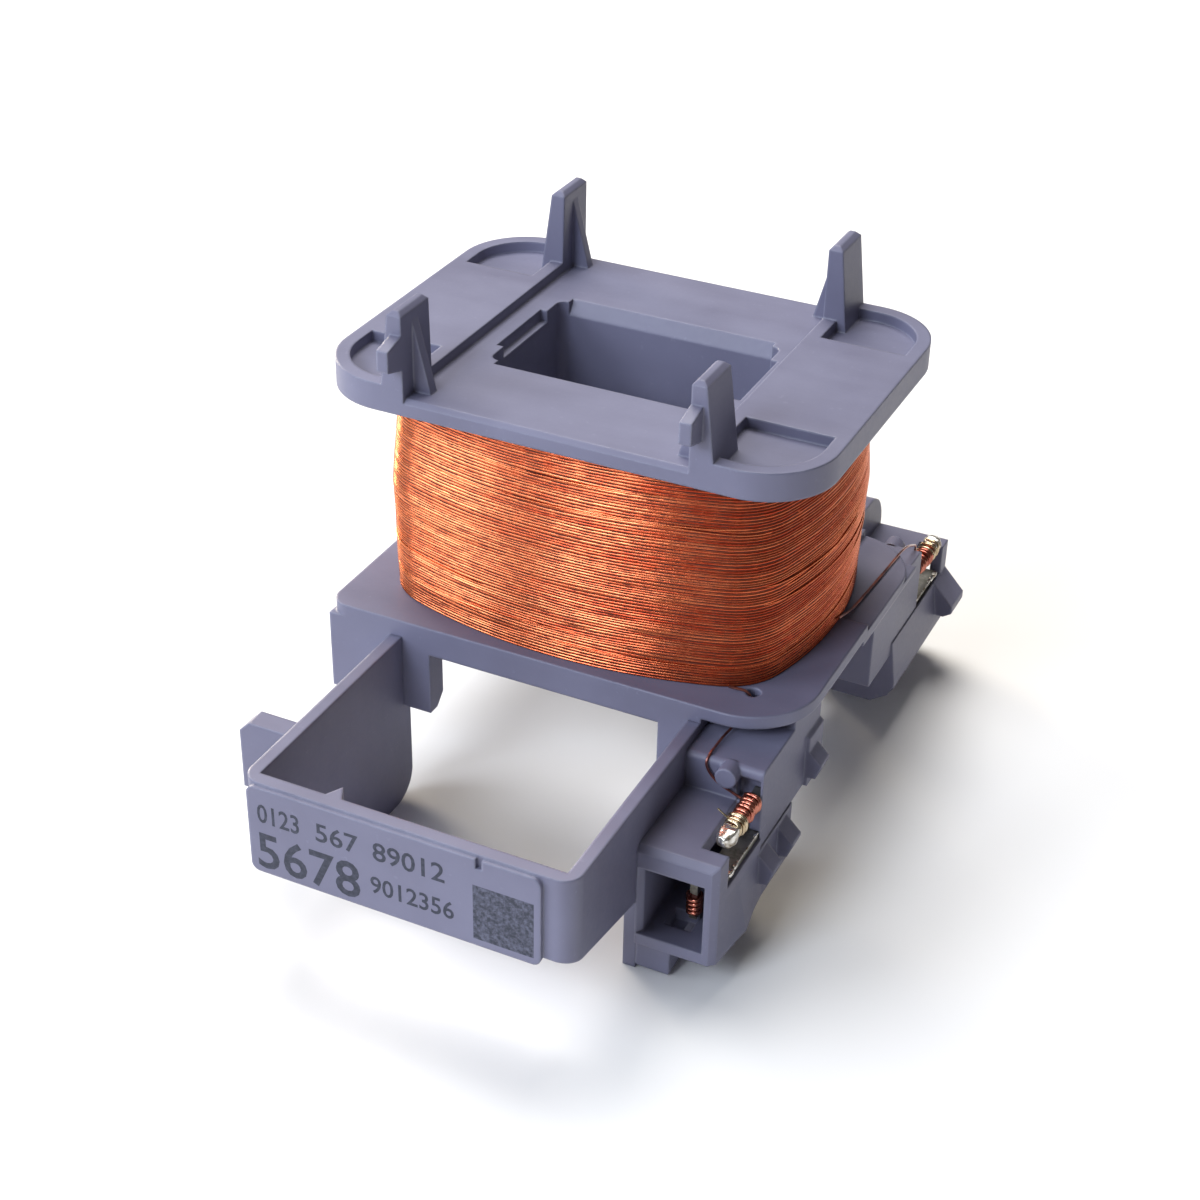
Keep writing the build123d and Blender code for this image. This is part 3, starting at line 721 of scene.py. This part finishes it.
# Wire wraps on the pins and the tags
wraps = {
    "strand": 0.2 * mm,
    "pointsPerTurn": 14,
    "firstAngle": 0.6,
    "squareness": 0.78,  # 1 is round, less is squarer
    "stray": 0.075 * mm,
    "strayPace": 0.9,  # noise steps from one turn to the next
    "swellGain": 2,
    "slipGain": 2.4,
    "pin": {"along": "y", "turns": 7.6, "stray": 1.0, "place": 40.0, "shadeScale": 1700},
    "tag": {"along": "z", "turns": 4.6, "stray": 0.5, "place": 60.0, "shadeScale": 2100},
    "pinSpread": 0.1 * mm,  # the visible wrap is this much wider than the node's sleeve
    "pinLead": 0.55 * mm,  # and starts this much nearer to the wall
    "sleeveSlim": 0.3 * mm,  # the layer painted in the gaps' shade lies this far below the strands' outside
    "sleeveEnd": 0.08 * mm,
    "sleeveEdge": 0.12 * mm,
    "sleeveTone": 0.1,
}


def roundedPoint(angle, halfWidth, halfHeight):
    # A point on a rounded rectangle
    c, s = math.cos(angle), math.sin(angle)
    power = wraps["squareness"]
    return halfWidth * math.copysign(abs(c) ** power, c), halfHeight * math.copysign(abs(s) ** power, s)


def wrapPoints(low, high, along, turns, inset, stray, start=wraps["firstAngle"]):
    # A hand-wound helix in the box from low to high, its axis along Y or Z
    middle = (low + high) / 2
    half = (high - low) / 2
    across = "x", ("z" if along == "y" else "y")
    count = int(turns * wraps["pointsPerTurn"])
    points = []
    for step in range(count + 1):
        part = step / count
        turn = turns * part
        seat = Vector((turn * wraps["strayPace"], low.x * 900, low.y * 900))
        swell = noise.noise(seat) * wraps["swellGain"] * wraps["stray"] * stray
        slip = noise.noise(seat + Vector((4, 9, 2))) * wraps["slipGain"] * wraps["stray"] * stray
        reach = [getattr(half, axis) - inset + swell for axis in across]
        place = Vector(middle)
        for axis, move in zip(across, roundedPoint(math.tau * turn + start, *reach)):
            setattr(place, axis, getattr(middle, axis) + move)
        advance = (getattr(half, along) - inset) * (2 * part - 1)
        setattr(place, along, getattr(middle, along) + advance + slip)
        points.append(place)
    return points


def shadeStrand(tube, scale):
    # Lets the strand's tone change along its way
    for vertex in tube.data.vertices:
        tone = 0.5 + 0.6 * noise.noise(vertex.co * scale)
        tube.data.attributes["turnToneAndShade"].data[vertex.index].value = limited(tone, 0, 1)


def sleeveUnder(low, high, along):
    # Under-layer of fine wire below the strands, painted all over with the shade of the gaps, that shows
    # between the strands
    inward = Vector([wraps["sleeveEnd"] if axis == along else wraps["sleeveSlim"] for axis in "xyz"])
    sleeve = bevelBlock(addBlock(low + inward, high - inward), wraps["sleeveEdge"])
    bpy.ops.object.shade_smooth()
    # groove 1: painted gap shade all over
    markWire(sleeve, 1.0, wraps["sleeveTone"])
    return sleeve


def buildWrap(end, kind, low, high):
    way = wraps[kind]
    strand = wraps["strand"]
    tube = wireTube(wrapPoints(low, high, way["along"], way["turns"], strand, way["stray"]), strand)
    markWire(tube, place=way["place"])
    shadeStrand(tube, way["shadeScale"])
    wrap = joinTubes([tube, sleeveUnder(low, high, way["along"])])
    keep(wrap, end + kind.capitalize() + "Wrap", "wrap")
    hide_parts(end + "_" + kind + "_wrap")


def buildWraps(end):
    low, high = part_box(end + "_pin_wrap")
    spread = Vector((wraps["pinSpread"], 0, wraps["pinSpread"]))
    low, high = low - spread, high + spread
    if end == "front":
        high.y += wraps["pinLead"]
    else:
        low.y -= wraps["pinLead"]
    buildWrap(end, "pin", low, high)
    buildWrap(end, "tag", *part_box(end + "_tag_wrap"))


# Solder on the pin's tip, the tinned strands that run into it, and the bead along the contact strip
solder = {
    "cuts": 9,
    "round": 0.6,
    "ball": 0.56,  # radius of the ball that the block is rounded towards, as a share of its size
    "lumps": 0.2 * mm,
    "swell": 1.04,
    "taper": 0.35,
    "strandRadius": 0.15 * mm,
    "strandSpread": 0.12 * mm,
    "strandOnWrap": 1.25 * mm,  # how far the tinned strands run back over the wrap
    "strandInSolder": 0.65 * mm,
    "strandCoils": ((3.3, 1.2, 0.2), (2.1, 0.9, 2.6)),  # turns, inset in strand radii, first angle
    "strandStray": 1.6,
    "strandShadeScale": 2300,
    "strayWire": [  # millimetres, as all points here
        (18.62, -22.2, 13.2),
        (18.5, -22.3, 13.42),
        (18.2, -22.35, 13.62),
        (17.95, -22.4, 13.85),
        (17.7, -22.4, 14.05),
    ],
    "strayWireRadius": 0.075 * mm,
    "bead": [
        (19.5, -24.2, 9.52),
        (19.52, -22.9, 9.62),
        (19.48, -21.6, 9.58),
        (19.5, -20.2, 9.6),
        (19.49, -18.9, 9.62),
        (19.5, -18.35, 9.58),
    ],
    "beadRadius": 0.07 * mm,
    "drops": [  # place and width
        (19.5, -23.75, 9.58, 0.42),
        (19.5, -22.85, 9.64, 0.36),
        (19.46, -22.2, 9.6, 0.2),
        (19.48, -18.9, 9.62, 0.22),
    ],
    "dropLength": 1.9,  # in widths
    "dropCuts": 4,
    "dropLumps": 0.06 * mm,
}


def lumpOf(middle, size, cuts, amount, taper=0.0, side=0):
    # A cube rounded towards a ball and pushed about by noise
    lump = addBlock(middle - size / 2, middle + size / 2)
    bpy.ops.object.mode_set(mode="EDIT")
    bpy.ops.mesh.select_all(action="SELECT")
    bpy.ops.mesh.subdivide(number_cuts=cuts)
    bpy.ops.object.mode_set(mode="OBJECT")
    for vertex in lump.data.vertices:
        away = vertex.co - middle
        place = Vector((away.x / size.x, away.y / size.y, away.z / size.z))
        place = place.lerp(place.normalized() * solder["ball"], solder["round"])
        narrow = 1 - max(place.y * side, 0) * 2 * taper
        spot = middle + Vector((place.x * size.x * narrow, place.y * size.y, place.z * size.z * narrow))
        push = noise.noise(spot * 1300) * 0.7 + noise.noise(spot * 3100) * 0.35 - 0.2
        vertex.co = spot + (spot - middle).normalized() * push * amount
    smooth = lump.modifiers.new("smooth", "SUBSURF")
    smooth.levels = 1
    smooth.render_levels = 1
    bpy.ops.object.modifier_apply(modifier="smooth")
    bpy.ops.object.shade_smooth()
    return lump


def tinnedStrands(end, side, low, high):
    # Coils over the place where the wrap ends and the solder begins
    seam = high.y if side < 0 else low.y
    ends = sorted((seam - side * solder["strandOnWrap"], seam + side * solder["strandInSolder"]))
    spread = Vector((solder["strandSpread"], 0, solder["strandSpread"]))
    start = Vector((low.x, ends[0], low.z)) - spread
    stop = Vector((high.x, ends[1], high.z)) + spread
    strand = solder["strandRadius"]
    tubes = []
    for turns, inset, angle in solder["strandCoils"]:
        points = wrapPoints(start, stop, "y", turns, strand * inset, solder["strandStray"], angle)
        coil = wireTube(points, strand)
        markWire(coil, place=80.0 + 10 * turns)
        shadeStrand(coil, solder["strandShadeScale"])
        tubes.append(coil)
    if end == "front":
        points = [Vector(place) * mm for place in solder["strayWire"]]
        stray = wireTube(points, solder["strayWireRadius"], steps=4)
        markWire(stray, tone=1.0, place=120.0)
        tubes.append(stray)
    return joinTubes(tubes)


def stripBead(side):
    flip = Vector((1, -side, 1)) * mm  # the rear bead mirrors the front one
    beads = [wireTube([Vector(place) * flip for place in solder["bead"]], solder["beadRadius"], steps=4)]
    for *place, width in solder["drops"]:
        size = Vector((width, width * solder["dropLength"], width)) * mm
        beads.append(lumpOf(Vector(place) * flip, size, solder["dropCuts"], solder["dropLumps"]))
    return joinTubes(beads)


def buildSolder(end):
    side = -1 if end == "front" else 1
    low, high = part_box(end + "_solder")
    size = (high - low) * solder["swell"]
    lump = lumpOf((low + high) / 2, size, solder["cuts"], solder["lumps"], solder["taper"], side)
    keep(lump, end + "Solder", "solder")
    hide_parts(end + "_solder")
    keep(tinnedStrands(end, side, low, high), end + "TinnedStrands", "tinnedWrap")
    keep(stripBead(side), end + "StripBead", "solder")


for end in ("front", "rear"):
    buildWraps(end)
    buildSolder(end)
print("terminals wrapped and soldered")


# Print on the marking plate: plain numbers and a plain dark patch
marking = {
    "ink": 0.012 * mm,
    "weight": 0.012,  # how much the strokes are thickened, as a share of the letter's size
    "merge": 0.0005 * mm,
    "rows": [  # numbers, left, low, right, high in millimetres
        ("0123", -12.5, 12.6, -8.9, 14.3),
        ("567", -7.5, 12.6, -3.9, 14.3),
        ("89012", -2.7, 12.6, 3.2, 14.3),
        ("5678", -12.7, 8.35, -3.9, 11.7),
        ("9012356", -3.0, 9.5, 3.9, 11.1),
    ],
    "patch": (5.45, 8.5, 10.3, 13.4),
}


def printLine(face, numbers, left, bottom, right, top):
    deselectAll()
    bpy.ops.object.text_add()
    words = bpy.context.object
    words.data.body = numbers
    words.data.offset = marking["weight"]
    words.data.resolution_u = 3
    bpy.ops.object.convert(target="MESH")
    line = bpy.context.object
    bpy.ops.object.mode_set(mode="EDIT")
    bpy.ops.mesh.select_all(action="SELECT")
    bpy.ops.mesh.extrude_region_move(TRANSFORM_OT_translate={"value": (0, 0, 1)})
    bpy.ops.object.mode_set(mode="OBJECT")
    xs = [vertex.co.x for vertex in line.data.vertices]
    ys = [vertex.co.y for vertex in line.data.vertices]
    for vertex in line.data.vertices:
        across = (vertex.co.x - min(xs)) / (max(xs) - min(xs))
        up = (vertex.co.y - min(ys)) / (max(ys) - min(ys))
        depth = (0.5 - vertex.co.z) * marking["ink"]
        height = (bottom + (top - bottom) * up) * mm
        vertex.co = ((left + (right - left) * across) * mm, face + depth, height)
    tidyMesh(line, marking["merge"])
    bpy.ops.object.shade_flat()
    return line


def buildPrint():
    low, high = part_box("label_frame")
    face = low.y
    numbers = joinTubes([printLine(face, *row) for row in marking["rows"]])
    keep(numbers, "plateNumbers", "ink")

    left, bottom, right, top = [value * mm for value in marking["patch"]]
    half = marking["ink"] / 2
    patch = addBlock(Vector((left, face - half, bottom)), Vector((right, face + half, top)))
    keep(bevelBlock(patch, half * 0.6), "platePatch", "patch")


buildPrint()
print("plate printed")
